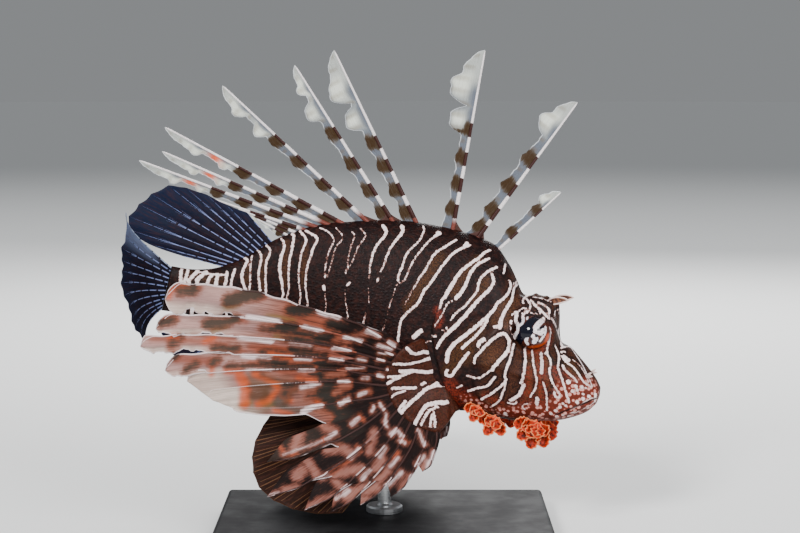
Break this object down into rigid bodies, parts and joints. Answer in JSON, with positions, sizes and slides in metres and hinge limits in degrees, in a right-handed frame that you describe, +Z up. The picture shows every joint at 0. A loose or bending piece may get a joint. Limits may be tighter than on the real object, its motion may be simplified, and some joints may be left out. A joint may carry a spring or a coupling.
{
  "type": "lionfish display model",
  "caption": "Life-size still model of a red lionfish with striped body, fan-like pectoral fins and banded dorsal spines, held nose-down on one rod over a flat base.",
  "frame": {"origin": "centre of the underside of the stand's base", "axes": "+X the way the fish heads, +Y towards its left side, +Z up"},
  "size_m": [0.2789, 0.234, 0.2907],
  "materials": {
    "skin": "painted resin, dark maroon brown with white stripes, satin",
    "eye": "glossy dark pupil in a spotted white and orange iris",
    "pectoral_fin": "pinkish orange membrane with dark bars, satin",
    "dark_fin": "dark smoky membrane with pale dashed rays, satin",
    "spines": "white and dark banded rods with pale flags, satin",
    "fringe": "orange red, satin",
    "base": "black lacquered, satin",
    "rod": "brushed"
  },
  "bodies": {
    "root": {"head": "skin", "lower_jaw": "skin", "trunk": "skin", "tail_stem": "skin", "pectoral_base_right": "skin", "pectoral_base_left": "skin", "eye_right": "eye", "eye_left": "eye", "pectoral_fin_right": "pectoral_fin", "pectoral_fin_left": "pectoral_fin", "pelvic_fin_right": "dark_fin", "pelvic_fin_left": "dark_fin", "dorsal_spines_front": "spines", "dorsal_spines_middle": "spines", "dorsal_spines_rear": "spines", "soft_dorsal_fin": "dark_fin", "anal_fin": "dark_fin", "caudal_fin": "dark_fin", "brow_tentacle_right": "skin", "brow_tentacle_left": "skin", "nose_tentacle_right": "skin", "nose_tentacle_left": "skin", "cheek_fringe_rear_right": "fringe", "cheek_fringe_rear_left": "fringe", "cheek_fringe_front_right": "fringe", "cheek_fringe_front_left": "fringe", "chin_fringe_right": "fringe", "chin_fringe_left": "fringe", "stand_base": "base", "stand_rod": "rod"}
  },
  "joints": []
}
